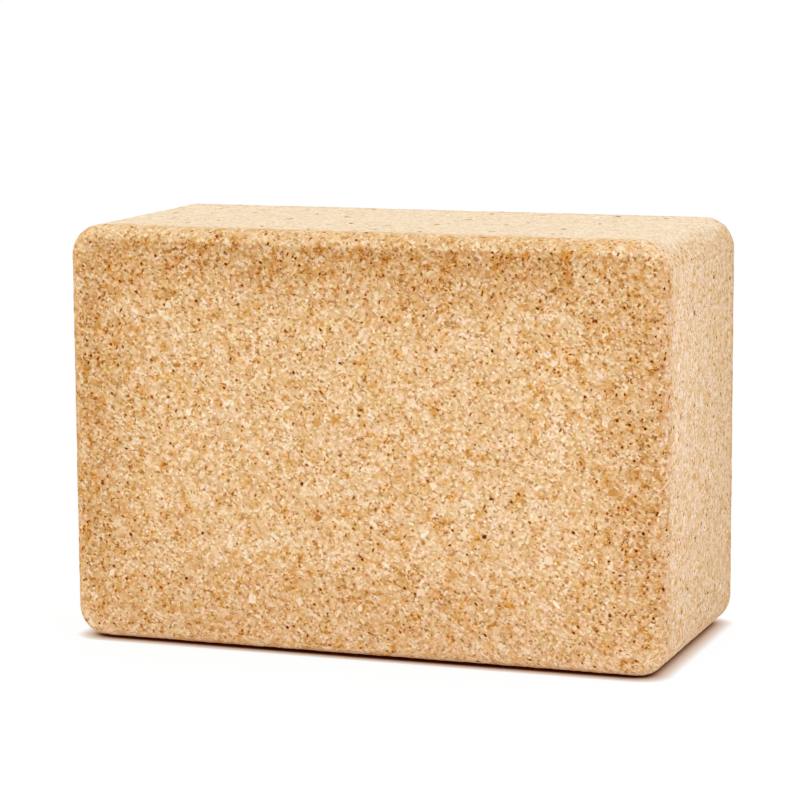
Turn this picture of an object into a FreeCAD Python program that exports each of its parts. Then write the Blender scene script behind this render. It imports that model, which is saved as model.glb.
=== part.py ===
import FreeCAD, Part
import math
import os
import random

# A yoga block pressed from cork: one body of fine granules and binder,
# with the coarser granules that show in its faces bonded into pockets of that body.
# Millimetres. X runs along the block, Y through it in the pressing direction, Z up.
# The origin is the middle of the long narrow face that the block stands on.

# Block
block_length = 225.0
block_depth = 100.0
block_height = 152.5
corner_radius = 11.3
edge_radius = 5.7

# Coarse granules: width across the flat and thickness in the pressing direction
pale_width = 4.5
pale_thickness = 3.2
amber_width = 4.0
amber_thickness = 2.8
bark_width = 1.9
bark_thickness = 1.4

# How many of the coarse granules are of each kind
pale_share = 0.30
amber_share = 0.24
bark_share = 0.46

# Unevenness of a granule: its corners, its width against the width of its kind, and its slimness
corner_counts = (4, 6)
corner_swing_shares = (-0.28, 0.28)
corner_reach_shares = (0.72, 1.0)
width_shares = (0.75, 1.15)
slim_shares = (0.45, 0.95)

# How the coarse granules are spread over the flat of a face
granule_pitch = 20.5
granule_gap = 3.0
clear_radius = 12.0
spread_seed = 7

full_turn = 2 * math.pi
along_x = FreeCAD.Vector(1, 0, 0)
along_y = FreeCAD.Vector(0, 1, 0)
along_z = FreeCAD.Vector(0, 0, 1)

kinds = {
    "pale_granules": (pale_width, pale_thickness),
    "amber_granules": (amber_width, amber_thickness),
    "bark_granules": (bark_width, bark_thickness),
}
kind_shares = (pale_share, amber_share, bark_share)
widest_granule = max(pale_width, amber_width, bark_width) * max(width_shares)


def rounded_block():
    """The block with its four corners rounded about Y, then its front and back edges rounded over."""
    corner = FreeCAD.Vector(-block_length / 2, -block_depth / 2, 0)
    box = Part.makeBox(block_length, block_depth, block_height, corner)
    corner_edges = [edge for edge in box.Edges if edge.BoundBox.YLength > block_depth / 2]
    block = box.makeFillet(corner_radius, corner_edges)
    rim_edges = [edge for edge in block.Edges if edge.BoundBox.YLength < block_depth / 2]
    return block.makeFillet(edge_radius, rim_edges)


def flat_faces():
    """The flat of each face: its middle, then each of its two directions with the span it has there."""
    flat_length = block_length - 2 * corner_radius
    flat_depth = block_depth - 2 * edge_radius
    flat_height = block_height - 2 * corner_radius
    centre = along_z * (block_height / 2)
    faces = []
    for side in (-1, 1):
        end = centre + along_x * (side * block_length / 2)
        broad = centre + along_y * (side * block_depth / 2)
        narrow = centre + along_z * (side * block_height / 2)
        faces.append((end, along_y, flat_depth, along_z, flat_height))
        faces.append((broad, along_x, flat_length, along_z, flat_height))
        faces.append((narrow, along_x, flat_length, along_y, flat_depth))
    return faces


def spread(middle, across, across_span, along, along_span, chance):
    """Places over the flat of one face, one in each cell of an even grid, clear of the face's middle."""
    least_cell = max(granule_pitch, widest_granule + granule_gap)
    columns = max(int(across_span / least_cell), 1)
    rows = max(int(along_span / least_cell), 1)
    cell_width = across_span / columns
    cell_length = along_span / rows
    swing_across = (cell_width - widest_granule - granule_gap) / 2
    swing_along = (cell_length - widest_granule - granule_gap) / 2
    places = []
    for column in range(columns):
        for row in range(rows):
            step_across = (column + 0.5) * cell_width - across_span / 2 + swing_across * chance.uniform(-1, 1)
            step_along = (row + 0.5) * cell_length - along_span / 2 + swing_along * chance.uniform(-1, 1)
            step = across * step_across + along * step_along
            if step.Length > clear_radius:
                places.append(middle + step)
    return places


def granule(middle, width, thickness, chance):
    """One granule as pressing leaves it: an uneven chip, often slim, with its flats square to Y."""
    corner_count = chance.randint(*corner_counts)
    slim_share = chance.uniform(*slim_shares)
    turn = full_turn * chance.random()
    along = along_x * math.cos(turn) + along_z * math.sin(turn)
    across = along_z * math.cos(turn) - along_x * math.sin(turn)
    base = middle - along_y * (thickness / 2)
    corners = []
    for step in range(corner_count):
        angle = full_turn * (step + chance.uniform(*corner_swing_shares)) / corner_count
        reach = width / 2 * chance.uniform(*corner_reach_shares)
        corners.append(base + along * (reach * math.cos(angle)) + across * (slim_share * reach * math.sin(angle)))
    outline = Part.makePolygon(corners + corners[:1])
    return Part.Face(outline).extrude(along_y * thickness)


def spread_granules(chance):
    """Whole granules of each kind, standing half in and half out of the block's faces."""
    granules = {name: [] for name in kinds}
    for face in flat_faces():
        for place in spread(*face, chance):
            name = chance.choices(list(kinds), weights=kind_shares)[0]
            width, thickness = kinds[name]
            granules[name].append(granule(place, width * chance.uniform(*width_shares), thickness, chance))
    return granules


def flush_with(block, granules):
    """The part of each granule that is left when the block's faces are cut and sanded."""
    return [chip for whole in granules for chip in whole.common(block).Solids]


def write_node(name, shape):
    """Writes one node's solids, and prints how many they are."""
    shape.exportStep("parts/" + name + ".step")
    print(name, "solids", len(shape.Solids), "faces", len(shape.Faces), "valid", shape.isValid())


def main():
    """Builds the block, sets the granules in it and writes each node."""
    os.makedirs("parts", exist_ok=True)
    block = rounded_block()
    granules = spread_granules(random.Random(spread_seed))
    pockets = [whole for kind in granules.values() for whole in kind]
    body = block.cut(pockets)
    write_node("pressed_body", body)
    for name, wholes in granules.items():
        write_node(name, Part.makeCompound(flush_with(block, wholes)))


main()
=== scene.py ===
"""Looks of a yoga block pressed from cork granules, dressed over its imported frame."""

import logging
import math
from dataclasses import dataclass
from enum import Enum
from typing import Any, Mapping, Sequence

import bmesh
import bpy
import numpy as np
from mathutils import Matrix, Vector


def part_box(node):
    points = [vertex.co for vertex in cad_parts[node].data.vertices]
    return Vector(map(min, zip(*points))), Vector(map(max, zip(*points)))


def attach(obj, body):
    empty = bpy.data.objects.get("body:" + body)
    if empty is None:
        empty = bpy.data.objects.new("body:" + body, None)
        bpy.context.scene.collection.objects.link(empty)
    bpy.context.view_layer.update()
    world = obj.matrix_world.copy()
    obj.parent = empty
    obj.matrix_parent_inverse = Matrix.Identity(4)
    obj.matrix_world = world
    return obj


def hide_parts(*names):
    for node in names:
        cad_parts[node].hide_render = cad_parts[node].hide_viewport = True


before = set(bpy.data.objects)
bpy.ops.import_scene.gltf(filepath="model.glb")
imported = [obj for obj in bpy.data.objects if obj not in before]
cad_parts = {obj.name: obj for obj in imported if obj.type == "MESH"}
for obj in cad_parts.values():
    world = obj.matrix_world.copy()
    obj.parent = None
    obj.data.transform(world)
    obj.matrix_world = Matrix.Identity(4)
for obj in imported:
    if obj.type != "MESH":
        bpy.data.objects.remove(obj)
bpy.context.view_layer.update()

MM = 0.001
PIT_SHARE = "pit_share"
NOISE_MIDDLE = 0.5
FULL_LEVEL = 255
CURVE_START = 0.04045
CURVE_SLOPE = 12.92
CURVE_OFFSET = 0.055
CURVE_POWER = 2.4
LOG = logging.getLogger("yoga_block")

Socket = bpy.types.NodeSocket
Tint = tuple[int, int, int]
Tints = tuple[tuple[float, Tint], ...]


def linear(tint: Tint) -> tuple[float, float, float, float]:
    """Turns a display tint into the colour that a shader socket holds.

    Args:
        tint: red, green and blue from 0 to 255, as a screen shows them.

    Returns:
        The same colour in linear light, with full opacity.
    """
    parts = []
    for level in tint:
        share = level / FULL_LEVEL
        if share <= CURVE_START:
            parts.append(share / CURVE_SLOPE)
        else:
            parts.append(((share + CURVE_OFFSET) / (1.0 + CURVE_OFFSET)) ** CURVE_POWER)
    return (*parts, 1.0)


def stand(name: str, data: bpy.types.ID) -> bpy.types.Object:
    """Stands a new object in the scene.

    Args:
        name: the object's name.
        data: its mesh, lamp or camera.

    Returns:
        The object.
    """
    thing = bpy.data.objects.new(name, data)
    bpy.context.scene.collection.objects.link(thing)
    return thing


class NodeBench:
    """The nodes of one material or of the surroundings, added and joined one step at a time."""

    NUMBER_SOCKETS = (0, 2, 3)
    COLOUR_SOCKETS = (0, 6, 7)
    COLOUR_RESULT = 2

    def __init__(self, owner: bpy.types.Material | bpy.types.World) -> None:
        """Starts with none of the nodes that a new owner has.

        Args:
            owner: the material or the surroundings that the nodes belong to.
        """
        owner.use_nodes = True
        self.owner = owner
        self.tree = owner.node_tree
        self.tree.nodes.clear()

    def add(self, kind: str, inputs: Mapping[str | int, Any], **settings: Any) -> bpy.types.Node:
        """Adds one node.

        Args:
            kind: the node's type, less its common first word.
            inputs: what goes into its sockets, by name or number; a socket is joined, a value is set.
            **settings: properties of the node itself.

        Returns:
            The new node.
        """
        node = self.tree.nodes.new("ShaderNode" + kind)
        for key, setting in settings.items():
            setattr(node, key, setting)
        for key, value in inputs.items():
            if isinstance(value, Socket):
                self.tree.links.new(value, node.inputs[key])
            else:
                node.inputs[key].default_value = value
        return node

    def math(self, operation: str, *values: float | Socket) -> Socket:
        """Joins one sum of the named kind to its values."""
        return self.add("Math", dict(enumerate(values)), operation=operation).outputs[0]

    def fade(self, value: Socket, low: float, high: float) -> Socket:
        """Turns a value into a smooth share, 0 at low and 1 at high."""
        inputs = {"Value": value, "From Min": low, "From Max": high}
        return self.add("MapRange", inputs, interpolation_type="SMOOTHSTEP").outputs[0]

    def pick(self, share: float | Socket, first: float | Socket, second: float | Socket) -> Socket:
        """Mixes two values, from the first at share 0 to the second at share 1."""
        inputs = dict(zip(self.NUMBER_SOCKETS, (share, first, second)))
        return self.add("Mix", inputs, data_type="FLOAT").outputs[0]

    def blend(self, share: float | Socket, first: Any, second: Any, mode: str = "MIX") -> Socket:
        """Mixes two colours, from the first at share 0 to the second at share 1."""
        inputs = dict(zip(self.COLOUR_SOCKETS, (share, first, second)))
        return self.add("Mix", inputs, data_type="RGBA", blend_type=mode).outputs[self.COLOUR_RESULT]

    def ramp(self, share: Socket, stops: Tints) -> Socket:
        """Runs a share through a row of tints.

        Args:
            share: the value from 0 to 1 that picks the tint.
            stops: each tint with its place along the row, in order.

        Returns:
            The colour picked.
        """
        node = self.add("ValToRGB", {0: share})
        elements = node.color_ramp.elements
        while len(elements) < len(stops):
            elements.new(1.0)
        for element, (place, tint) in zip(elements, stops):
            element.position = place
            element.color = linear(tint)
        return node.outputs[0]

    def noise(self, place: Socket, size: float, detail: float = 2.0, offset: float = 0.0) -> bpy.types.Node:
        """Adds soft noise whose patches are about size wide, in the units of place."""
        moved = self.shift(place, offset)
        return self.add("TexNoise", {"Vector": moved, "Scale": 1 / size, "Detail": detail})

    def shift(self, place: Socket, offset: float) -> Socket:
        """Moves a place by the same step along each axis."""
        return self.add("VectorMath", {0: place, 1: (offset, offset, offset)}, operation="ADD").outputs[0]

    def swing(self, noise: Socket, reach: float) -> Socket:
        """Turns noise about its middle into a step that strays by half the reach to either side."""
        return self.math("MULTIPLY_ADD", noise, reach, -NOISE_MIDDLE * reach)

    def places(self) -> tuple[Socket, Socket]:
        """Gives the point on the object in metres, and the same point in millimetres."""
        coords = self.add("TexCoord", {}).outputs["Object"]
        return coords, self.add("VectorMath", {0: coords, "Scale": 1 / MM}, operation="SCALE").outputs[0]

    def gamma(self, colour: Any, gamma: Socket) -> Socket:
        """Raises a colour to a power, which pales it under 1 and darkens it over 1."""
        return self.add("Gamma", {"Color": colour, "Gamma": gamma}).outputs[0]


@dataclass(frozen=True)
class PatchField:
    """Soft patches spread through the cork.

    Attributes:
        size: width of a patch, in millimetres.
        offset: where the pattern starts, so that fields don't line up.
        limits: the noise at which a patch begins, and at which it is full.
        detail: how many finer steps the noise has.
    """

    size: float
    offset: float
    limits: tuple[float, float]
    detail: float = 2.0

    def share(self, bench: NodeBench, spot: Socket) -> Socket:
        """Gives 1 inside a patch and 0 outside."""
        noise = bench.noise(spot, self.size, self.detail, self.offset).outputs[0]
        return bench.fade(noise, *self.limits)


class FlakeShape(Enum):
    """How the cells of a layer are bounded."""

    CRUMB = "EUCLIDEAN"
    SPLINTER = "CHEBYCHEV"


@dataclass(frozen=True)
class FlakeLayer:
    """Flakes of one size that lie one way in the pressed mass, in millimetres and degrees.

    Attributes:
        length: spacing of the flakes along their length.
        width: spacing of the flakes across it.
        turn: how far their length is turned about the pressing direction.
        share: how many of the cells hold a flake.
        reaches: least and greatest size of a flake, as shares of its cell.
        offset: where the pattern starts, so that layers don't line up.
        shape: how the flakes are bounded.
        soft: how wide the flakes' blurred edge is, as a share of their cell.
    """

    length: float
    width: float
    turn: float
    share: float
    reaches: tuple[float, float]
    offset: float
    shape: FlakeShape = FlakeShape.SPLINTER
    soft: float = 0.09

    def cells(self, bench: NodeBench, place: Socket) -> tuple[Socket, Sequence[Socket]]:
        """Adds the layer's cells.

        Args:
            bench: the material's nodes.
            place: the point in millimetres.

        Returns:
            The distance from the nearest flake's middle, and three chance values of that flake.
        """
        inputs = {
            "Vector": place,
            "Location": (self.offset, self.offset, self.offset),
            "Rotation": (0.0, math.radians(self.turn), 0.0),
            "Scale": (self.length, self.width, self.width),
        }
        turned = bench.add("Mapping", inputs, vector_type="TEXTURE").outputs[0]
        cells = bench.add("TexVoronoi", {"Vector": turned, "Scale": 1.0}, distance=self.shape.value)
        chances = bench.add("SeparateColor", {0: cells.outputs["Color"]}).outputs
        return cells.outputs["Distance"], chances

    def flakes(
        self, bench: NodeBench, place: Socket, crowd: float | Socket
    ) -> tuple[Socket, Socket, Socket]:
        """Adds the layer's flakes.

        Args:
            bench: the material's nodes.
            place: the point in millimetres.
            crowd: how many times as often as the layer says flakes show.

        Returns:
            How far inside the nearest flake the point lies, whether that flake shows, and a chance value
            that picks its tint.
        """
        distance, (show_chance, size_chance, tint_chance) = self.cells(bench, place)
        shows = bench.math("LESS_THAN", show_chance, bench.math("MULTIPLY", crowd, self.share))
        least, most = self.reaches
        reach = bench.math("MULTIPLY_ADD", size_chance, most - least, least)
        return bench.math("SUBTRACT", reach, distance), shows, tint_chance


@dataclass(frozen=True)
class FlakeKind:
    """One kind of flake in the pressed mass.

    Attributes:
        layers: the sizes that it comes in.
        tints: the tints that its flakes have.
        strength: how strongly a flake covers what lies under it.
        stain_reach: how far a flake stains what lies round it, as a share of its cell, 0 for not at all.
        stain_tint: what the strongest stain turns white into.
    """

    layers: tuple[FlakeLayer, ...]
    tints: Tints
    strength: float
    stain_reach: float = 0.0
    stain_tint: Tint = (254, 232, 194)

    def scatter(
        self, bench: NodeBench, place: Socket, colour: Socket, crowd: float | Socket = 1.0
    ) -> tuple[Socket, Socket]:
        """Scatters the flakes over the colour so far.

        Args:
            bench: the material's nodes.
            place: the point in millimetres.
            colour: the colour so far.
            crowd: how many times as often as the layers say flakes show.

        Returns:
            The colour with the flakes in it, and the share of flake at the point.
        """
        total = None
        for layer in self.layers:
            depth, shows, chance = layer.flakes(bench, place, crowd)
            if self.stain_reach:
                stained = bench.math("MULTIPLY", shows, bench.fade(depth, -self.stain_reach, 0.0))
                colour = bench.blend(stained, colour, linear(self.stain_tint), "MULTIPLY")
            inside = bench.math("MULTIPLY", shows, bench.fade(depth, 0.0, layer.soft))
            share = bench.math("MULTIPLY", inside, self.strength)
            colour = bench.blend(share, colour, bench.ramp(chance, self.tints))
            total = inside if total is None else bench.math("MAXIMUM", total, inside)
        return colour, total


@dataclass(frozen=True)
class SandedShine:
    """How matt the cork is at large, and how satin its long sides are.

    Attributes:
        roughnesses: roughness at large, and of the long sides.
        levels: strength of the shine at large, and of the long sides.
    """

    roughnesses: tuple[float, float] = (0.84, 0.45)
    levels: tuple[float, float] = (0.0, 0.5)

    def inputs(self, bench: NodeBench, satin: Socket) -> dict[str, Socket]:
        """Gives the shader's inputs for the shine.

        Args:
            bench: the material's nodes.
            satin: 1 on the long sides and 0 elsewhere.

        Returns:
            Each input by its name.
        """
        return {
            "Roughness": bench.pick(satin, *self.roughnesses),
            "Specular IOR Level": bench.pick(satin, *self.levels),
        }


class Axis(Enum):
    """The block's own directions, by their place in a vector."""

    ALONG = 0
    THROUGH = 1
    UP = 2


@dataclass(frozen=True)
class PressedFaces:
    """Where the toasted skin of the two broad faces lies, and where the cut sides begin, in metres.

    Attributes:
        half_size: half the block's length, depth and height.
        middle: height of the block's middle.
        corner_radius: radius of the broad faces' corners.
        edge_radius: radius of the round-over along the broad faces' edges.
        side_depths: how far behind a broad face the cut sides begin and the skin ends.
        rim_widths: how far inside the block's outline the skin is deepest and where it is plain again.
        wear_and_painted_light_widths: how far inside the outline the deep rim is left out along the long
            edges, and how far
        inside it is whole; along the top edge this is wear, along the lower edge it is partly painted light.
        wear_and_painted_light_shares: how far up or down from the middle that paling starts, and where it is
            full.
        left_wear: how much of the rim is worn off along the left edge.
        weak_shares: where along the block and down it the rim starts to weaken, and where it is weakest.
        weak_strengths: how deep the rim is where it is weakest, at the left, at the right and low down.
        flat_slopes: how squarely a surface faces forward or back where the broad faces' flat ends, and
            where it is whole.
        long_slopes: how steeply up or down a surface faces where the long sides begin, and where they
            are whole.
        ragged: how far the skin's end strays, from one side to the other.
        sway: how far the rim's inner border strays, from one side to the other.
        sway_size: length of such a stray, in millimetres.
        sway_offset: where the pattern of strays starts.
    """

    half_size: Vector
    middle: float
    corner_radius: float
    edge_radius: float
    side_depths: tuple[float, float] = (11.5 * MM, 2.0 * MM)
    rim_widths: tuple[float, float] = (5.0 * MM, 33.0 * MM)
    wear_and_painted_light_widths: tuple[float, float] = (4.0 * MM, 6.2 * MM)
    wear_and_painted_light_shares: tuple[float, float] = (0.84, 0.92)
    left_wear: float = 0.42
    weak_shares: tuple[float, float] = (0.5, 0.95)
    weak_strengths: tuple[float, float, float] = (0.86, 0.72, 0.2)
    flat_slopes: tuple[float, float] = (0.6, 0.98)
    long_slopes: tuple[float, float] = (0.5, 0.9)
    ragged: float = 3.0 * MM
    sway: float = 12.0 * MM
    sway_size: float = 14.0
    sway_offset: float = 31.0

    def share(self, bench: NodeBench, coords: Socket, fine: Socket) -> Socket:
        """Tells the broad faces from the cut sides, with a ragged change between them.

        Args:
            bench: the material's nodes.
            coords: the point in metres.
            fine: fine grain, about a half on average.

        Returns:
            1 on the broad faces and 0 on the cut sides.
        """
        depth = self.size_along(bench, coords, Axis.THROUGH)
        ragged = bench.math("ADD", depth, bench.swing(fine, self.ragged))
        return bench.fade(ragged, *(self.half_size.y - reach for reach in self.side_depths))

    def broad(self, bench: NodeBench, coords: Socket) -> Socket:
        """Gives 1 on the broad faces with their round-overs, and 0 on the cut sides."""
        depth = self.size_along(bench, coords, Axis.THROUGH)
        return bench.math("GREATER_THAN", depth, self.half_size.y - self.edge_radius)

    def flat(self, bench: NodeBench) -> Socket:
        """Gives 1 on the flat of the broad faces and falls to 0 round their edges."""
        normal = bench.add("TexCoord", {}).outputs["Normal"]
        return bench.fade(self.size_along(bench, normal, Axis.THROUGH), *self.flat_slopes)

    def long_side(self, bench: NodeBench) -> Socket:
        """Gives 1 where the surface faces up or down and 0 on the broad faces and the ends."""
        normal = bench.add("TexCoord", {}).outputs["Normal"]
        return bench.fade(self.size_along(bench, normal, Axis.UP), *self.long_slopes)

    @staticmethod
    def size_along(bench: NodeBench, vector: Socket, axis: Axis) -> Socket:
        """Gives how long a vector is along one of the block's axes, either way."""
        return bench.math("ABSOLUTE", bench.add("SeparateXYZ", {0: vector}).outputs[axis.value])

    def inset(self, bench: NodeBench, along: Socket, up: Socket) -> Socket:
        """Measures how far inside the block's rounded outline a point lies.

        Args:
            bench: the material's nodes.
            along: distance from the middle along the block.
            up: distance from the middle up the block.

        Returns:
            The distance in metres.
        """
        past_end = bench.math("SUBTRACT", along, self.half_size.x - self.corner_radius)
        past_top = bench.math("SUBTRACT", up, self.half_size.z - self.corner_radius)
        outside = [bench.math("MAXIMUM", past, 0.0) for past in (past_end, past_top)]
        corner = bench.add("CombineXYZ", dict(enumerate(outside))).outputs[0]
        reach = bench.add("VectorMath", {0: corner}, operation="LENGTH").outputs["Value"]
        inside = bench.math("MINIMUM", bench.math("MAXIMUM", past_end, past_top), 0.0)
        return bench.math("SUBTRACT", self.corner_radius, bench.math("ADD", reach, inside))

    def rim(self, bench: NodeBench, coords: Socket, spot: Socket) -> Socket:
        """Gives 1 along the broad faces' edges, where their skin is deepest, and 0 inside, on worn edges,
        and along the lower edge, where leaving it out is partly painted light.

        Args:
            bench: the material's nodes.
            coords: the point in metres.
            spot: the point in millimetres.

        Returns:
            The share.
        """
        x, _, z = bench.add("SeparateXYZ", {0: coords}).outputs
        rise = bench.math("SUBTRACT", z, self.middle)
        away = bench.math("ABSOLUTE", rise)
        inset = self.inset(bench, bench.math("ABSOLUTE", x), away)
        noise = bench.noise(spot, self.sway_size, detail=1.0, offset=self.sway_offset).outputs[0]
        swayed = bench.math("ADD", inset, bench.swing(noise, self.sway))
        deepest, plain = self.rim_widths
        inputs = {"Value": swayed, "From Min": deepest, "From Max": plain, "To Min": 1.0, "To Max": 0.0}
        near = bench.add("MapRange", inputs).outputs[0]
        left = bench.fade(x, *(-self.half_size.x * share for share in self.weak_shares))
        right = bench.fade(x, *(self.half_size.x * share for share in self.weak_shares))
        low = bench.fade(rise, *(-self.half_size.z * share for share in self.weak_shares))
        strength = 1.0
        for side, weakest in zip((left, right, low), self.weak_strengths):
            strength = bench.math("MINIMUM", strength, bench.pick(side, 1.0, weakest))
        # The rim is left out near the top edge as wear, and near the lower edge partly as painted light.
        between = bench.fade(away, *(self.half_size.z * share for share in reversed(self.wear_and_painted_light_shares)))
        kept = bench.math("MULTIPLY", between, bench.pick(left, 1.0, 1.0 - self.left_wear))
        rim_whole = bench.math("MAXIMUM", bench.fade(inset, *self.wear_and_painted_light_widths), kept)
        return bench.math("MULTIPLY", bench.math("MULTIPLY", near, rim_whole), strength)


@dataclass(frozen=True)
class PressedCork:
    """Finish of the block: granules in a ground of fine crumbs, with ochre clouds, dark seams and bark dots.

    Attributes:
        faces: where the toasted skin of the broad faces lies.
        wobble: how far outlines stray, in millimetres.
        wobble_size: length of a stray, in millimetres.
        crumbs: the fine crumbs that fill the ground.
        granules: smooth granules among the crumbs.
        splinters: pale slivers.
        specks: small brown specks.
        dots: dark bark dots.
        crumb_tints: tints of the crumbs, from the darkest to the palest.
        crumb_swing: how far the fine grain moves a crumb's tint, from one side to the other.
        fine_size: size of the fine grain, in millimetres.
        fine_offset: where its pattern starts.
        clouds: the ochre clouds.
        cloud_tint: what the deepest cloud turns white into.
        cloud_crowds: how often specks and dots show outside the clouds and in the deepest one.
        warmth: the warmer patches.
        warmth_tint: what the warmest patch turns white into.
        blush: patches that lean to green or to pink.
        blush_tints: what the greenest and the pinkest patch turn white into.
        seam_size: spacing of the seams between pressed lumps, in millimetres.
        seam_widths: greatest half width of a seam outside the clouds and in them, as shares of that spacing.
        seam_soft: how wide a seam's blurred edge is, as a share of that spacing.
        seam_gapes: where seams gape.
        seam_tint: tint of the seams.
        seam_strength: how strongly they show.
        rim_tint: what the deepest rim turns white into.
        rim_gamma: how far the deepest rim is darkened, 1 for not at all.
        rim_crowd: how much more often specks and dots show in the deepest rim.
        face_calm: how far the tints of the broad faces are drawn together.
        side_calm: how far those of the cut sides are.
        side_tint: the tint that they are drawn to.
        side_crowd: how often specks and dots show on the cut sides, against the broad faces.
        end_gamma: how far the cut ends are paled, 1 for not at all.
        long_painted_light_gamma: how far the long cut sides over and under them are paled; paled more than
            the ends, which is painted light from above.
        shine: how matt the block is.
        pit_shade_tint: painted shade in the deepest pits, the tint that they are darkened to.
        pit_shade_strength: how strongly that painted shade shows.
        smooth_height: height of the smooth granules, from 0 to 1.
        flake_depth: how far specks, dots and seams lie under them.
        sliver_height: how far pale slivers stand over them.
        fine_relief: share of the fine grain in the relief.
        bump_strength: how strongly the relief shows.
        bump_depth: depth of the relief, in metres.
    """

    faces: PressedFaces
    wobble: float = 0.4
    wobble_size: float = 0.9
    crumbs: FlakeLayer = FlakeLayer(1.0, 0.8, 25.0, 1.0, (0.0, 1.0), 3.1, FlakeShape.CRUMB)
    granules: FlakeKind = FlakeKind(
        (
            FlakeLayer(2.05, 1.6, -40.0, 0.45, (0.3, 0.6), 17.3, FlakeShape.CRUMB, 0.12),
            FlakeLayer(3.5, 2.65, 70.0, 0.24, (0.25, 0.55), 29.0, FlakeShape.CRUMB, 0.1),
        ),
        (
            (0.0, (219, 169, 110)),
            (0.3, (227, 183, 134)),
            (0.55, (233, 194, 150)),
            (0.8, (239, 206, 168)),
            (1.0, (250, 226, 194)),
        ),
        strength=0.8,
    )
    splinters: FlakeKind = FlakeKind(
        (
            FlakeLayer(3.9, 1.5, 35.0, 0.16, (0.2, 0.48), 31.0),
            FlakeLayer(2.9, 1.3, -55.0, 0.18, (0.2, 0.48), 47.0),
        ),
        ((0.0, (234, 198, 158)), (0.6, (243, 215, 182)), (1.0, (255, 241, 222))),
        strength=0.65,
    )
    specks: FlakeKind = FlakeKind(
        (
            FlakeLayer(2.4, 2.0, 10.0, 0.1, (0.15, 0.28), 97.0, FlakeShape.CRUMB, 0.06),
            FlakeLayer(3.4, 1.8, -65.0, 0.083, (0.12, 0.26), 113.0, FlakeShape.SPLINTER, 0.06),
        ),
        ((0.0, (104, 40, 6)), (0.6, (136, 68, 18)), (1.0, (172, 104, 44))),
        strength=0.98,
        stain_reach=0.18,
    )
    dots: FlakeKind = FlakeKind(
        (
            FlakeLayer(4.6, 2.8, 40.0, 0.21, (0.14, 0.24), 151.0, FlakeShape.CRUMB, 0.05),
            FlakeLayer(3.6, 2.4, -50.0, 0.18, (0.13, 0.22), 173.0, FlakeShape.CRUMB, 0.05),
        ),
        ((0.0, (78, 22, 1)), (0.6, (114, 46, 8)), (1.0, (150, 58, 10))),
        strength=1.0,
        stain_reach=0.14,
    )
    crumb_tints: Tints = (
        (0.0, (166, 110, 54)),
        (0.07, (206, 157, 103)),
        (0.22, (218, 173, 124)),
        (0.5, (232, 191, 147)),
        (0.8, (242, 207, 168)),
        (1.0, (253, 229, 197)),
    )
    crumb_swing: float = 0.8
    fine_size: float = 0.45
    fine_offset: float = 5.0
    clouds: PatchField = PatchField(size=3.0, offset=57.0, limits=(0.5, 0.72))
    cloud_tint: Tint = (246, 222, 169)
    cloud_crowds: tuple[float, float] = (0.6, 1.7)
    warmth: PatchField = PatchField(size=5.0, offset=83.0, limits=(0.3, 0.7))
    warmth_tint: Tint = (247, 235, 211)
    blush: PatchField = PatchField(size=2.4, offset=109.0, limits=(0.3, 0.7))
    blush_tints: Tints = ((0.0, (251, 255, 250)), (1.0, (255, 251, 255)))
    seam_size: float = 2.7
    seam_widths: tuple[float, float] = (0.039, 0.13)
    seam_soft: float = 0.06
    seam_gapes: PatchField = PatchField(size=2.2, offset=71.0, limits=(0.48, 0.72), detail=1.0)
    seam_tint: Tint = (168, 108, 50)
    seam_strength: float = 0.92
    rim_tint: Tint = (242, 241, 237)
    rim_gamma: float = 1.33
    rim_crowd: float = 0.6
    face_calm: float = 0.06
    side_calm: float = 0.25
    side_tint: Tint = (229, 185, 146)
    side_crowd: float = 0.7
    end_gamma: float = 0.935
    long_painted_light_gamma: float = 0.73
    shine: SandedShine = SandedShine()
    pit_shade_tint: Tint = (120, 74, 36)
    pit_shade_strength: float = 0.6
    smooth_height: float = 0.6
    flake_depth: float = 0.7
    sliver_height: float = 0.3
    fine_relief: float = 0.5
    bump_strength: float = 0.5
    bump_depth: float = 0.12 * MM

    def material(self) -> bpy.types.Material:
        """Builds the finish.

        Returns:
            The material for the block's mesh.
        """
        bench = NodeBench(bpy.data.materials.new("pressed_cork"))
        coords, spot = bench.places()
        place = self.wobbled(bench, spot)
        fine = bench.noise(spot, self.fine_size, offset=self.fine_offset).outputs[0]
        cloud = self.clouds.share(bench, spot)
        on_face = self.faces.share(bench, coords, fine)
        rim = bench.math("MULTIPLY", self.faces.rim(bench, coords, spot), on_face)
        long_side = self.faces.long_side(bench)
        colour, tone = self.ground(bench, place, fine)
        colour, smooth = self.granules.scatter(bench, place, colour)
        colour = bench.blend(cloud, colour, linear(self.cloud_tint), "MULTIPLY")
        colour = bench.blend(self.warmth.share(bench, spot), colour, linear(self.warmth_tint), "MULTIPLY")
        colour, proud = self.splinters.scatter(bench, place, colour)
        seam = self.seams(bench, place, spot, cloud)
        seam_share = bench.math("MULTIPLY", seam, self.seam_strength)
        colour = bench.blend(seam_share, colour, linear(self.seam_tint))
        crowd = self.crowd(bench, cloud, on_face, rim)
        colour, brown = self.specks.scatter(bench, place, colour, crowd)
        colour, dark = self.dots.scatter(bench, place, colour, crowd)
        colour = bench.blend(rim, colour, linear(self.rim_tint), "MULTIPLY")
        colour = self.calmed(bench, colour, on_face)
        blush = bench.ramp(self.blush.share(bench, spot), self.blush_tints)
        colour = bench.blend(1.0, colour, blush, "MULTIPLY")
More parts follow.
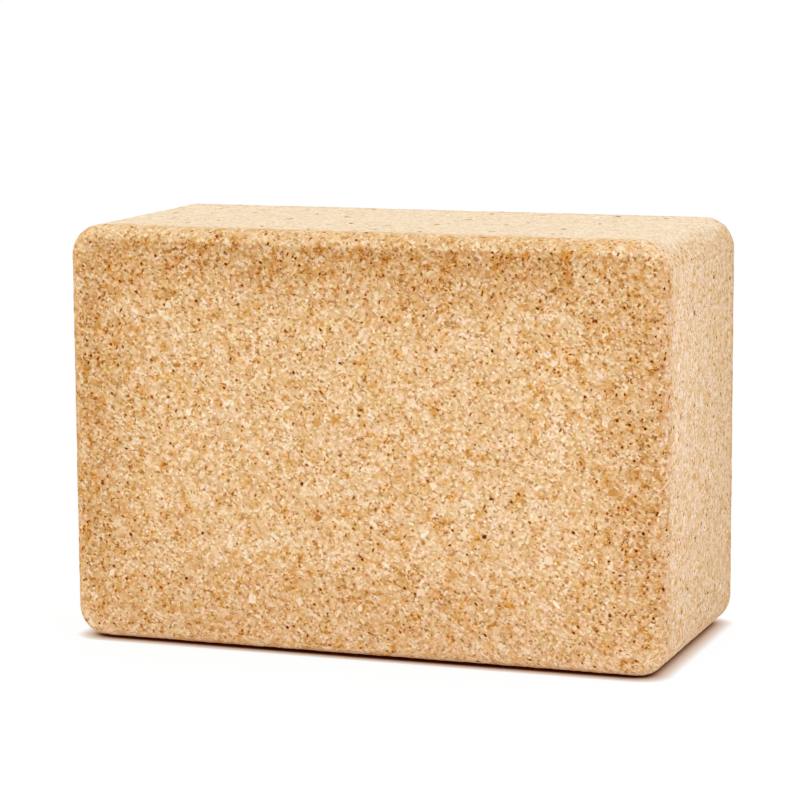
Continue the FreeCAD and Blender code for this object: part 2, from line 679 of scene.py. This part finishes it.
        # Cut ends are paled as cut cork; the long sides are paled further, which is painted light from
        # above.
        side_gamma = bench.pick(long_side, self.end_gamma, self.long_painted_light_gamma)
        face_gamma = bench.pick(rim, 1.0, self.rim_gamma)
        colour = bench.gamma(colour, bench.pick(on_face, side_gamma, face_gamma))
        low = bench.math("MAXIMUM", seam, bench.math("MAXIMUM", brown, dark))
        height = bench.pick(smooth, tone, self.smooth_height)
        height = bench.math("SUBTRACT", height, bench.math("MULTIPLY", low, self.flake_depth))
        height = bench.math("MULTIPLY_ADD", proud, self.sliver_height, height)
        satin = bench.math("MULTIPLY", long_side, bench.math("SUBTRACT", 1.0, on_face))
        bench.add("OutputMaterial", {"Surface": self.shader(bench, colour, fine, height, satin)})
        return bench.owner

    def wobbled(self, bench: NodeBench, place: Socket) -> Socket:
        """Bends the places a little, so that granules have ragged outlines.

        Args:
            bench: the material's nodes.
            place: the point in millimetres.

        Returns:
            The wobbled point.
        """
        noise = bench.noise(place, self.wobble_size).outputs["Color"]
        stray = bench.shift(noise, -NOISE_MIDDLE)
        step = bench.add("VectorMath", {0: stray, "Scale": 2 * self.wobble}, operation="SCALE").outputs[0]
        return bench.add("VectorMath", {0: place, 1: step}, operation="ADD").outputs[0]

    def crowd(self, bench: NodeBench, cloud: Socket, on_face: Socket, rim: Socket) -> Socket:
        """Tells how often specks and dots show.

        Args:
            bench: the material's nodes.
            cloud: how deep in an ochre cloud the point lies.
            on_face: 1 on the broad faces and 0 on the cut sides.
            rim: how deep in the toasted rim the point lies.

        Returns:
            How many times as often as their layers say they show.
        """
        crowd = bench.pick(cloud, *self.cloud_crowds)
        crowd = bench.math("MULTIPLY", crowd, bench.pick(on_face, self.side_crowd, 1.0))
        return bench.math("MULTIPLY_ADD", rim, self.rim_crowd, crowd)

    def calmed(self, bench: NodeBench, colour: Socket, on_face: Socket) -> Socket:
        """Draws a colour to the cut sides' tint by ratio, so that dark flakes keep their brown.

        Args:
            bench: the material's nodes.
            colour: the colour so far.
            on_face: 1 on the broad faces and 0 on the cut sides.

        Returns:
            The calmer colour.
        """
        flat = bench.math("MULTIPLY", on_face, self.faces.flat(bench))
        calm = bench.pick(flat, self.side_calm, self.face_calm)
        kept = bench.gamma(colour, bench.math("SUBTRACT", 1.0, calm))
        added = bench.gamma(linear(self.side_tint), calm)
        return bench.blend(1.0, kept, added, "MULTIPLY")

    def ground(self, bench: NodeBench, place: Socket, fine: Socket) -> tuple[Socket, Socket]:
        """Tints the ground of fine crumbs.

        Args:
            bench: the material's nodes.
            place: the wobbled point in millimetres.
            fine: fine grain, about a half on average.

        Returns:
            The colour, and the tone from 0 to 1 that picked it.
        """
        _, (_, chance, _) = self.crumbs.cells(bench, place)
        tone = bench.math("ADD", chance, bench.swing(fine, self.crumb_swing))
        return bench.ramp(tone, self.crumb_tints), tone

    def seams(self, bench: NodeBench, place: Socket, spot: Socket, cloud: Socket) -> Socket:
        """Gives the share of dark seam between pressed lumps.

        Args:
            bench: the material's nodes.
            place: the wobbled point in millimetres.
            spot: the same point before the wobble.
            cloud: how deep in an ochre cloud the point lies, where seams are widest.

        Returns:
            1 in a seam and 0 outside.
        """
        inputs = {"Vector": place, "Scale": 1 / self.seam_size}
        distance = bench.add("TexVoronoi", inputs, feature="DISTANCE_TO_EDGE").outputs["Distance"]
        gape = self.seam_gapes.share(bench, spot)
        width = bench.math("MULTIPLY", gape, bench.pick(cloud, *self.seam_widths))
        return bench.fade(bench.math("SUBTRACT", width, distance), 0.0, self.seam_soft)

    def shader(
        self, bench: NodeBench, colour: Socket, fine: Socket, height: Socket, satin: Socket
    ) -> Socket:
        """Gives the colour its matt shine, painted shade in the pits, and the fine relief of sanded
        granules.

        Args:
            bench: the material's nodes.
            colour: the finished colour.
            fine: fine grain, about a half on average.
            height: the relief of the granules, about a half on average.
            satin: 1 on the long cut sides and 0 elsewhere.

        Returns:
            The shader.
        """
        # Painted shade: pits darken by their depth.
        pit = bench.add("Attribute", {}, attribute_name=PIT_SHARE).outputs["Fac"]
        shaded = bench.blend(bench.math("MULTIPLY", pit, self.pit_shade_strength), colour, linear(self.pit_shade_tint))
        relief = bench.pick(self.fine_relief, height, fine)
        inputs = {"Height": relief, "Strength": self.bump_strength, "Distance": self.bump_depth}
        bump = bench.add("Bump", inputs).outputs[0]
        inputs = {"Base Color": shaded, "Normal": bump, **self.shine.inputs(bench, satin)}
        return bench.add("BsdfPrincipled", inputs).outputs[0]


class ChanceCells:
    """Scattered points in space, one in each cell of a grid, with chance values that never change."""

    AXIS_PRIMES = np.array([73856093, 19349663, 83492791])
    SEED_PRIME = 2654435761
    NUMBER_PRIME = 40503
    MIXER = 0x45D9F3B
    HALF_BITS = 16
    KEY_MASK = 0xFFFF
    WORD_MASK = 0xFFFFFFFF
    CHANCE_MASK = 0xFFFFFF

    def __init__(self, size: Sequence[float], seed: int) -> None:
        """Sets the cell's size along each axis, in millimetres, and the seed of its chances."""
        self.size = np.array(size, dtype=float)
        self.seed = seed

    def chance(self, cell: np.ndarray, number: int) -> np.ndarray:
        """Gives one chance value for each cell.

        Args:
            cell: the cells, one row each.
            number: which of a cell's chance values to give.

        Returns:
            The values from 0 to 1.
        """
        keys = cell.astype(np.int64) & self.KEY_MASK
        mixed = np.bitwise_xor.reduce(keys * self.AXIS_PRIMES, axis=1)
        mixed = (mixed ^ (self.seed * self.SEED_PRIME + number * self.NUMBER_PRIME)) & self.WORD_MASK
        for _ in range(2):
            mixed = ((mixed >> self.HALF_BITS) ^ mixed) * self.MIXER & self.WORD_MASK
        return (((mixed >> self.HALF_BITS) ^ mixed) & self.CHANCE_MASK) / (self.CHANCE_MASK + 1)

    def nearest(self, points: np.ndarray) -> tuple[np.ndarray, np.ndarray]:
        """Finds the scattered point nearest to each given point.

        Args:
            points: places in millimetres, one row each.

        Returns:
            The distance in cell sizes, and the cell that holds the scattered point.
        """
        scaled = points / self.size
        home = np.floor(scaled)
        best = np.full(len(points), np.inf)
        owner = home.copy()
        for step in np.ndindex(3, 3, 3):
            cell = home + np.array(step) - 1
            spot = cell + np.stack([self.chance(cell, number) for number in range(3)], 1)
            distance = np.linalg.norm(scaled - spot, axis=1)
            closer = distance < best
            best = np.where(closer, distance, best)
            owner[closer] = cell[closer]
        return best, owner


@dataclass(frozen=True)
class SandedRelief:
    """How far the sanded skin lies under the block's true faces, in millimetres.

    Attributes:
        skin: least depth, so that the coarse granules lie over the skin.
        granule_size: spacing of the granules.
        granule_step: greatest step between two of them.
        pit_spacing: spacing of the places that may hold a pit.
        pit_share: how many of them do.
        pit_reaches: least and greatest radius of a pit.
        pit_depth: depth of a pit.
        sway: depth of the long waves.
        sway_length: length of a wave along the block.
        sway_shares: how fast the waves run through the block and up it, against along it.
        sway_start: where the second wave starts, in radians.
        seeds: seeds of the granules' and the pits' chances.
        chances: which chance values set a size, and whether a pit shows.
    """

    skin: float = 0.05
    granule_size: float = 3.4
    granule_step: float = 0.13
    pit_spacing: float = 7.5
    pit_share: float = 0.16
    pit_reaches: tuple[float, float] = (0.75, 1.5)
    pit_depth: float = 0.55
    sway: float = 0.1
    sway_length: float = 47.0
    sway_shares: tuple[float, float] = (1.3, 1.7)
    sway_start: float = 2.1
    seeds: tuple[int, int] = (11, 23)
    chances: tuple[int, int] = (5, 6)

    def sink(self, points: np.ndarray) -> tuple[np.ndarray, np.ndarray]:
        """Works out the relief.

        Args:
            points: places on the true faces, in millimetres.

        Returns:
            How far each place sinks, and how much of that is a pit, as a share of the deepest.
        """
        granule_seed, pit_seed = self.seeds
        size_chance, show_chance = self.chances
        granules = ChanceCells((self.granule_size,) * 3, granule_seed)
        _, owner = granules.nearest(points)
        step = self.granule_step * granules.chance(owner, size_chance)
        pits = ChanceCells((self.pit_spacing,) * 3, pit_seed)
        distance, owner = pits.nearest(points)
        least, most = self.pit_reaches
        reach = least + (most - least) * pits.chance(owner, size_chance)
        bowl = np.clip(1 - distance * self.pit_spacing / reach, 0, 1)
        pit = bowl * bowl * (3 - 2 * bowl) * (pits.chance(owner, show_chance) < self.pit_share)
        along, through, up = (points * (2 * math.pi / self.sway_length)).T
        through_share, up_share = self.sway_shares
        waves = np.sin(along + through_share * through) + np.sin(up_share * up - along + self.sway_start)
        sway = self.sway * (waves + 2) / 4
        return self.skin + step + self.pit_depth * pit + sway, pit


@dataclass
class CorkBlock:
    """The pressed block: a closed skin with rounded corners and edges and a slightly pitted surface.

    Attributes:
        low: lowest corner of the block's box.
        high: highest corner of it.
        corner_radius: radius of the broad faces' corners.
        edge_radius: radius of the round-over along the broad faces' edges.
        cell: size of a cell of the skin's net.
        least_turns: least number of cells round that edge.
    """

    low: Vector
    high: Vector
    corner_radius: float = 11.3 * MM
    edge_radius: float = 5.7 * MM
    cell: float = 1.0 * MM
    least_turns: int = 4

    @property
    def half_length(self) -> float:
        """Half the block's length."""
        return (self.high.x - self.low.x) / 2

    @property
    def half_depth(self) -> float:
        """Half the block's depth."""
        return (self.high.y - self.low.y) / 2

    @property
    def half_height(self) -> float:
        """Half the block's height."""
        return (self.high.z - self.low.z) / 2

    def faces(self) -> PressedFaces:
        """Gives where the skin of the block's broad faces lies."""
        half_size = Vector((self.half_length, self.half_depth, self.half_height))
        return PressedFaces(half_size, (self.low.z + self.high.z) / 2, self.corner_radius, self.edge_radius)

    def side_counts(self) -> tuple[int, int]:
        """Counts the cells along the block and up it."""
        return round(2 * self.half_length / self.cell), round(2 * self.half_height / self.cell)

    def side(self, half_run: float, radius: float, count: int) -> np.ndarray:
        """Steps along one side of a rounded rectangle, from the middle of one corner to the next.

        Args:
            half_run: half the side's length between the unrounded corners.
            radius: radius of the corners.
            count: number of steps.

        Returns:
            Places along the side and how far each lies inside it, one row each, without the last.
        """
        straight = half_run - radius
        half_arc = radius * math.pi / 4
        steps = (np.arange(count) / count * 2 - 1) * (straight + half_arc)
        angle = np.clip(np.abs(steps) - straight, 0, None) / radius
        along = np.sign(steps) * (np.minimum(np.abs(steps), straight) + radius * np.sin(angle))
        return np.stack([along, radius * (1 - np.cos(angle))], 1)

    def outline(self, inset: float) -> np.ndarray:
        """Gives the rounded rectangle that the block shows at one depth.

        Args:
            inset: how far the outline lies inside the block's own.

        Returns:
            X and Z of the outline's points, in order, about the block's centre.
        """
        half_x, half_z = self.half_length - inset, self.half_height - inset
        radius = self.corner_radius - inset
        count_x, count_z = self.side_counts()
        along_x, in_x = self.side(half_x, radius, count_x).T
        along_z, in_z = self.side(half_z, radius, count_z).T
        under = np.stack([along_x, in_x - half_z], 1)
        right = np.stack([half_x - in_z, along_z], 1)
        return np.concatenate([under, right, -under, -right])

    def rings(self) -> list[np.ndarray]:
        """Lists the outlines from the front face round its edge, through the block and round to the back.

        Returns:
            Each outline's points, one row each.
        """
        round_count = max(round(self.edge_radius * math.pi / 2 / self.cell), self.least_turns)
        turn = np.linspace(0, math.pi / 2, round_count + 1)
        flat = self.half_depth - self.edge_radius
        through = np.linspace(-flat, flat, round(2 * flat / self.cell) + 1)
        radius = self.edge_radius
        front = [(-flat - radius * math.cos(t), radius * (1 - math.sin(t))) for t in turn]
        middle = [(y, 0.0) for y in through[1:-1]]
        back = [(-y, inset) for y, inset in reversed(front)]
        rings = []
        for y, inset in front + middle + back:
            points = self.outline(inset)
            rings.append(np.insert(points, 1, y, axis=1))
        return rings

    def cap(self, ring: np.ndarray) -> np.ndarray:
        """Fills a ring with an even net of points.

        Args:
            ring: the points round the flat of a broad face.

        Returns:
            The net's points in columns along X and rows along Z, with the ring's own on its border.
        """
        count_x, count_z = self.side_counts()
        closed = np.concatenate([ring, ring[:1]])
        under = closed[: count_x + 1]
        right = closed[count_x : count_x + count_z + 1]
        over = closed[count_x + count_z : 2 * count_x + count_z + 1][::-1]
        left = closed[2 * count_x + count_z :][::-1]
        u = np.linspace(0, 1, count_x + 1)[:, None, None]
        v = np.linspace(0, 1, count_z + 1)[None, :, None]
        across = (1 - u) * left[None] + u * right[None]
        upward = (1 - v) * under[:, None] + v * over[:, None]
        corners = (1 - u) * (1 - v) * under[0] + u * (1 - v) * under[-1]
        corners = corners + (1 - u) * v * over[0] + u * v * over[-1]
        return across + upward - corners

    def net(self) -> tuple[np.ndarray, np.ndarray]:
        """Builds the whole skin.

        Returns:
            The skin's points, and its four-cornered faces with their fronts outward.
        """
        rings = self.rings()
        count = len(rings[0])
        count_x, count_z = self.side_counts()
        points = list(rings)
        total = count * len(rings)
        step = np.arange(count)
        after = (step + 1) % count
        faces = []
        for number in range(len(rings) - 1):
            here, there = number * count, (number + 1) * count
            faces.append(np.stack([here + step, there + step, there + after, here + after], 1))
        border = self.border_numbers(count_x, count_z)
        for first, ring, outward in ((0, rings[0], True), (total - count, rings[-1], False)):
            numbers = np.empty((count_x + 1, count_z + 1), dtype=int)
            numbers[border[:, 0], border[:, 1]] = first + step
            inner = (count_x - 1) * (count_z - 1)
            numbers[1:-1, 1:-1] = total + np.arange(inner).reshape(count_x - 1, count_z - 1)
            points.append(self.cap(ring)[1:-1, 1:-1].reshape(-1, 3))
            total += inner
            quads = [numbers[:-1, :-1], numbers[1:, :-1], numbers[1:, 1:], numbers[:-1, 1:]]
            quads = np.stack(quads if outward else quads[::-1], -1)
            faces.append(quads.reshape(-1, 4))
        centre = np.array((self.low + self.high) / 2)
        return np.concatenate(points) + centre, np.concatenate(faces)

    @staticmethod
    def border_numbers(count_x: int, count_z: int) -> np.ndarray:
        """Lists the border of a net in the order of the ring round it.

        Args:
            count_x: number of cells along the net.
            count_z: number of cells up it.

        Returns:
            The column and the row of each point, one row each.
        """
        under = [(column, 0) for column in range(count_x)]
        right = [(count_x, row) for row in range(count_z)]
        over = [(column, count_z) for column in range(count_x, 0, -1)]
        left = [(0, row) for row in range(count_z, 0, -1)]
        return np.array(under + right + over + left)

    def mesh(self) -> bpy.types.Mesh:
        """Makes the skin as a mesh, smooth shaded and sunk by its relief.

        Returns:
            The mesh, with the depth of its pits as a share on each point.
        """
        points, faces = self.net()
        mesh = bpy.data.meshes.new("cork_block")
        mesh.from_pydata(points.tolist(), [], faces.tolist())
        mesh.polygons.foreach_set("use_smooth", np.ones(len(faces), dtype=bool))
        mesh.update()
        normals = np.empty(points.size)
        mesh.vertex_normals.foreach_get("vector", normals)
        depth, pit = SandedRelief().sink(points / MM)
        sunk = points - normals.reshape(-1, 3) * depth[:, None] * MM
        mesh.vertices.foreach_set("co", sunk.ravel())
        mesh.attributes.new(PIT_SHARE, "FLOAT", "POINT").data.foreach_set("value", pit)
        mesh.update()
        return mesh

    def build(self) -> bpy.types.Object:
        """Builds and dresses the block.

        Returns:
            The block's object, standing for the frame's pressed body.
        """
        block = stand("cork_block", self.mesh())
        block.data.materials.append(PressedCork(self.faces()).material())
        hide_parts("pressed_body")
        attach(block, "root")
        return block


class GranuleKind(Enum):
    """The kinds of coarse granule that are set in the block's faces."""

    PALE = "pale"
    AMBER = "amber"
    BARK = "bark"


@dataclass(frozen=True)
class GranuleCork:
    """Finish of one kind of coarse granule: a tint for each granule, with the fine lines of cork in it.

    Attributes:
        name: the finish's name.
        tints: tints of the granules, from the darkest to the palest.
        line_tint: tint of the lines.
        line_share: how strongly the lines show.
        cut_and_painted_light_gammas: how far granules in the cut ends and in the long sides are paled, 1 for
            not at all; the long sides' further paling is painted light from above.
        shine: how matt the granules are.
        lines: where the lines run.
        fine_size: size of the fine grain, in millimetres.
        fine_detail: how many finer steps it has.
        fine_swing: how far the fine grain moves a granule's tint, from one side to the other.
        bump_strength: how strongly the grain shows as relief.
        bump_depth: depth of that relief, in metres.
    """

    name: str
    tints: Tints
    line_tint: Tint
    line_share: float
    cut_and_painted_light_gammas: tuple[float, float]
    shine: SandedShine = SandedShine()
    lines: PatchField = PatchField(size=1.1, offset=13.0, limits=(0.52, 0.7), detail=3.0)
    fine_size: float = 0.5
    fine_detail: float = 3.0
    fine_swing: float = 1.2
    bump_strength: float = 0.3
    bump_depth: float = 0.08 * MM

    def material(self, faces: PressedFaces) -> bpy.types.Material:
        """Builds the finish.

        Args:
            faces: where the skin of the block's broad faces lies.

        Returns:
            The material for the granules' mesh.
        """
        bench = NodeBench(bpy.data.materials.new(self.name))
        coords, spot = bench.places()
        chance = bench.add("NewGeometry", {}).outputs["Random Per Island"]
        fine = bench.noise(spot, self.fine_size, self.fine_detail).outputs[0]
        colour = bench.ramp(bench.math("ADD", chance, bench.swing(fine, self.fine_swing)), self.tints)
        line = bench.math("MULTIPLY", self.lines.share(bench, spot), self.line_share)
        colour = bench.blend(line, colour, linear(self.line_tint))
        long_side = faces.long_side(bench)
        # The long sides are paled further than the ends: painted light from above.
        side_gamma = bench.pick(long_side, *self.cut_and_painted_light_gammas)
        colour = bench.gamma(colour, bench.pick(faces.broad(bench, coords), side_gamma, 1.0))
        inputs = {"Height": fine, "Strength": self.bump_strength, "Distance": self.bump_depth}
        bump = bench.add("Bump", inputs).outputs[0]
        inputs = {"Base Color": colour, "Normal": bump, **self.shine.inputs(bench, long_side)}
        bench.add("OutputMaterial", {"Surface": bench.add("BsdfPrincipled", inputs).outputs[0]})
        return bench.owner


GRANULE_FINISHES = {
    GranuleKind.PALE: GranuleCork(
        "pale_cork",
        ((0.0, (236, 202, 162)), (0.5, (243, 215, 180)), (1.0, (251, 231, 203))),
        line_tint=(222, 180, 132),
        line_share=0.4,
        cut_and_painted_light_gammas=(1.5, 1.0),
    ),
    GranuleKind.AMBER: GranuleCork(
        "amber_cork",
        ((0.0, (180, 116, 46)), (0.5, (207, 150, 80)), (1.0, (228, 180, 122))),
        line_tint=(164, 106, 48),
        line_share=0.45,
        cut_and_painted_light_gammas=(0.78, 0.55),
    ),
    GranuleKind.BARK: GranuleCork(
        "bark",
        ((0.0, (84, 34, 8)), (0.6, (124, 66, 24)), (1.0, (148, 68, 28))),
        line_tint=(68, 28, 8),
        line_share=0.4,
        cut_and_painted_light_gammas=(0.6, 0.27),
    ),
}


@dataclass
class GranuleInlay:
    """The coarse granules of one kind, each with its cut edges softened by sanding.

    Attributes:
        kind: the kind of granule.
        faces: where the skin of the block's broad faces lies.
        softening: how far the edges are softened.
        softening_steps: number of facets across a softened edge.
        weld: greatest distance between points that are joined.
        flat_angle: greatest turn between facets that are joined, in radians.
    """

    kind: GranuleKind
    faces: PressedFaces
    softening: float = 0.14 * MM
    softening_steps: int = 2
    weld: float = 0.001 * MM
    flat_angle: float = 0.02

    @property
    def node(self) -> str:
        """The frame's node for these granules."""
        return self.kind.value + "_granules"

    def mesh(self) -> bpy.types.Mesh:
        """Copies the granules' solids and softens their edges.

        Returns:
            A mesh of the softened granules.
        """
        shape = bmesh.new()
        shape.from_mesh(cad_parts[self.node].data)
        bmesh.ops.remove_doubles(shape, verts=shape.verts[:], dist=self.weld)
        angle = self.flat_angle
        bmesh.ops.dissolve_limit(shape, angle_limit=angle, verts=shape.verts[:], edges=shape.edges[:])
        bmesh.ops.bevel(
            shape,
            geom=shape.edges[:],
            offset=self.softening,
            segments=self.softening_steps,
            profile=0.5,
            affect="EDGES",
            clamp_overlap=True,
        )
        mesh = bpy.data.meshes.new(self.kind.value + "_granule_chips")
        shape.to_mesh(mesh)
        shape.free()
        return mesh

    def build(self) -> bpy.types.Object:
        """Builds and dresses the granules.

        Returns:
            Their object, standing for the frame's node.
        """
        finish = GRANULE_FINISHES[self.kind]
        chips = stand(self.kind.value + "_granule_chips", self.mesh())
        chips.data.materials.append(finish.material(self.faces))
        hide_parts(self.node)
        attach(chips, "root")
        return chips


@dataclass
class SoftLamp:
    """One broad soft lamp, far enough off to light everything alike.

    Attributes:
        name: the lamp's name.
        towards: which way it hangs, seen from the block.
        level: how strongly it lights a surface that faces it.
        spread: how broad it looks from the block, in degrees.
        tint: its colour.
    """

    name: str
    towards: Vector
    level: float
    spread: float
    tint: tuple[float, float, float]

    def build(self) -> bpy.types.Object:
        """Hangs the lamp so that it shines from its direction.

        Returns:
            The lamp's object.
        """
        lamp = bpy.data.lights.new(self.name, "SUN")
        lamp.energy = self.level * math.pi
        lamp.angle = math.radians(self.spread)
        lamp.color = self.tint
        hung = stand(self.name, lamp)
        hung.rotation_euler = self.towards.to_track_quat("Z", "Y").to_euler()
        return hung


@dataclass
class StripLamp:
    """One upright strip lamp that stands close by, so that its light falls off along the block.

    Attributes:
        name: the lamp's name.
        spot: where it stands, in metres.
        towards: which way its back faces.
        power: its power, in watts.
        tint: its colour.
        width: its width, in metres.
        height: its height, in metres.
    """

    name: str
    spot: Vector
    towards: Vector
    power: float
    tint: tuple[float, float, float]
    width: float = 0.06
    height: float = 0.30

    def build(self) -> bpy.types.Object:
        """Stands the lamp on its spot, unseen by the camera.

        Returns:
            The lamp's object.
        """
        lamp = bpy.data.lights.new(self.name, "AREA")
        lamp.shape = "RECTANGLE"
        lamp.size = self.width
        lamp.size_y = self.height
        lamp.energy = self.power
        lamp.color = self.tint
        stood = stand(self.name, lamp)
        stood.location = self.spot
        stood.rotation_euler = self.towards.to_track_quat("Z", "Y").to_euler()
        stood.visible_camera = False
        return stood


@dataclass
class Studio:
    """Pale floor, soft lamps and white surroundings.

    Attributes:
        floor_half: half the floor's width, in metres.
        ambient: how strongly the surroundings light the block.
        floor_tone: how pale the floor is to the light that it throws back.
        floor_glow: how far the floor that is seen shows its own tint, painted contact shadow included,
            whatever the lamps.
        contact_reach: how far the contact shadow reaches, in metres.
        contact_leans: how far the floor looks outward at the block's left end and at its right, so that the
            painted shadow is lighter there.
        contact_span: where along the block these leans are full, in metres.
        contact_rays: how many looks the floor takes for its shadow.
        painted_shadow_tints: tints of the floor's painted contact shadow, from covered to open.
    """

    floor_half: float = 30.0
    ambient: float = 0.5
    floor_tone: float = 0.96
    floor_glow: float = 0.93
    contact_reach: float = 6.0 * MM
    contact_leans: tuple[float, float] = (-0.9, 0.78)
    contact_span: float = 112.0 * MM
    contact_rays: int = 16
    painted_shadow_tints: Tints = (
        (0.0, (34, 2, 0)),
        (0.41, (54, 14, 6)),
        (0.52, (146, 104, 82)),
        (0.68, (204, 174, 152)),
        (0.84, (226, 208, 194)),
        (0.94, (242, 232, 222)),
        (0.99, (255, 255, 255)),
    )

    def floor(self) -> bpy.types.Object:
        """Lays the floor that the block stands on.

        Returns:
            The floor's object.
        """
        half = self.floor_half
        mesh = bpy.data.meshes.new("floor")
        corners = [(-half, -half, 0.0), (half, -half, 0.0), (half, half, 0.0), (-half, half, 0.0)]
        mesh.from_pydata(corners, [], [(0, 1, 2, 3)])
        mesh.materials.append(self.pale_floor())
        floor = stand("floor", mesh)
        return floor

    def pale_floor(self) -> bpy.types.Material:
        """Builds the floor's finish: pale and matt, with a contact shadow painted into its tint where it is
        seen.

        Returns:
            The material for the floor's mesh.
        """
        bench = NodeBench(bpy.data.materials.new("pale_floor"))
        # Painted contact shadow: the floor's tint darkens where the block covers it.
        colour = bench.ramp(self.openness(bench), self.painted_shadow_tints)
        lit = bench.add("BsdfDiffuse", {"Color": colour}).outputs[0]
        glow = bench.add("Emission", {"Color": colour, "Strength": 1.0}).outputs[0]
        shown = bench.add("MixShader", {0: self.floor_glow, 1: lit, 2: glow}).outputs[0]
        tone = (self.floor_tone, self.floor_tone, self.floor_tone, 1.0)
        plain = bench.add("BsdfDiffuse", {"Color": tone}).outputs[0]
        seen = bench.add("LightPath", {}).outputs["Is Camera Ray"]
        shader = bench.add("MixShader", {0: seen, 1: plain, 2: shown}).outputs[0]
        bench.add("OutputMaterial", {"Surface": shader})
        return bench.owner

    def openness(self, bench: NodeBench) -> Socket:
        """Measures how open the floor is, looking up and outward along the block.

        Args:
            bench: the floor's nodes.

        Returns:
            0 under the block and 1 away from it.
        """
        coords = bench.add("TexCoord", {}).outputs["Object"]
        left, right = self.contact_leans
        inputs = {
            "Value": bench.add("SeparateXYZ", {0: coords}).outputs[Axis.ALONG.value],
            "From Min": -self.contact_span,
            "From Max": self.contact_span,
            "To Min": left,
            "To Max": right,
        }
        lean = bench.add("MapRange", inputs).outputs[0]
        look = bench.add("CombineXYZ", {Axis.ALONG.value: lean, Axis.UP.value: 1.0}).outputs[0]
        look = bench.add("VectorMath", {0: look}, operation="NORMALIZE").outputs[0]
        inputs = {"Distance": self.contact_reach, "Normal": look}
        return bench.add("AmbientOcclusion", inputs, samples=self.contact_rays).outputs["AO"]

    def surroundings(self) -> None:
        """Sets an even white light from all round, seen as plain white."""
        world = bpy.data.worlds.new("studio_white")
        bench = NodeBench(world)
        rays = bench.add("LightPath", {}).outputs
        seen = bench.math("MAXIMUM", rays["Is Camera Ray"], rays["Is Glossy Ray"])
        seen = bench.math("MAXIMUM", seen, rays["Is Transmission Ray"])
        inputs = {"Color": (1.0, 1.0, 1.0, 1.0), "Strength": bench.pick(seen, self.ambient, 1.0)}
        bench.add("OutputWorld", {"Surface": bench.add("Background", inputs).outputs[0]})
        bpy.context.scene.world = world

    def lamps(self) -> list[bpy.types.Object]:
        """Hangs a lamp in front of the block and one over it, and stands a strip lamp by its right end.

        Returns:
            The lamps' objects.
        """
        front = Vector((-0.30, -0.90, 0.14))
        above = Vector((0.0, 0.12, 1.0))
        beside, outward = Vector((0.24, -0.06, 0.09)), Vector((1.0, 0.0, 0.0))
        lamps = [
            SoftLamp("front_lamp", front, level=0.36, spread=28.0, tint=(0.955, 1.0, 1.13)),
            SoftLamp("top_lamp", above, level=0.56, spread=50.0, tint=(0.91, 1.07, 1.04)),
            StripLamp("right_lamp", beside, outward, power=0.105, tint=(0.92, 1.2, 2.05)),
        ]
        return [lamp.build() for lamp in lamps]


@dataclass
class Viewpoint:
    """The camera that sees the block as the photograph does.

    Attributes:
        centre: middle of the block.
        offset: where the camera stands, from that middle, in metres.
        lens: focal length, in millimetres.
        yaw: how far the camera is turned to the left, in degrees.
        pitch: how far it looks down, in degrees.
        roll: how far it is tilted, in degrees.
        sensor: width of its sensor, in millimetres.
        reach: how far it sees, in metres.
    """

    centre: Vector
    offset: tuple[float, float, float] = (378.92 * MM, -1061.63 * MM, 182.01 * MM)
    lens: float = 139.18
    yaw: float = 19.75
    pitch: float = 8.684
    roll: float = -0.323
    sensor: float = 36.0
    reach: float = 50.0

    def build(self) -> bpy.types.Object:
        """Places the camera and makes it the scene's own.

        Returns:
            The camera's object.
        """
        yaw, pitch, roll = (math.radians(angle) for angle in (self.yaw, self.pitch, self.roll))
        ahead = Vector((-math.sin(yaw) * math.cos(pitch), math.cos(yaw) * math.cos(pitch), -math.sin(pitch)))
        level = Vector((math.cos(yaw), math.sin(yaw), 0.0))
        upward = level.cross(ahead)
        right = level * math.cos(roll) + upward * math.sin(roll)
        up = upward * math.cos(roll) - level * math.sin(roll)
        camera = stand("camera", bpy.data.cameras.new("camera"))
        camera.data.lens = self.lens
        camera.data.sensor_width = self.sensor
        camera.data.clip_end = self.reach
        turn = Matrix((right, up, -ahead)).transposed().to_4x4()
        camera.matrix_world = Matrix.Translation(self.centre + Vector(self.offset)) @ turn
        bpy.context.scene.camera = camera
        return camera


def main() -> None:
    """Builds the block, its granules, the studio and the camera, and reports each piece."""
    logging.basicConfig(level=logging.INFO, format="%(name)s: %(message)s")
    low, high = (Vector(corner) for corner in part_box("pressed_body"))
    cork = CorkBlock(low, high)
    inlays = [GranuleInlay(kind, cork.faces()) for kind in GranuleKind]
    for maker in (cork, *inlays):
        piece = maker.build()
        LOG.info("%s with %d faces", piece.name, len(piece.data.polygons))
    studio = Studio()
    studio.floor()
    studio.surroundings()
    LOG.info("studio with %d lamps", len(studio.lamps()))
    Viewpoint((low + high) / 2).build()
    bpy.context.scene.view_settings.view_transform = "Standard"


if __name__ == "__main__":
    main()
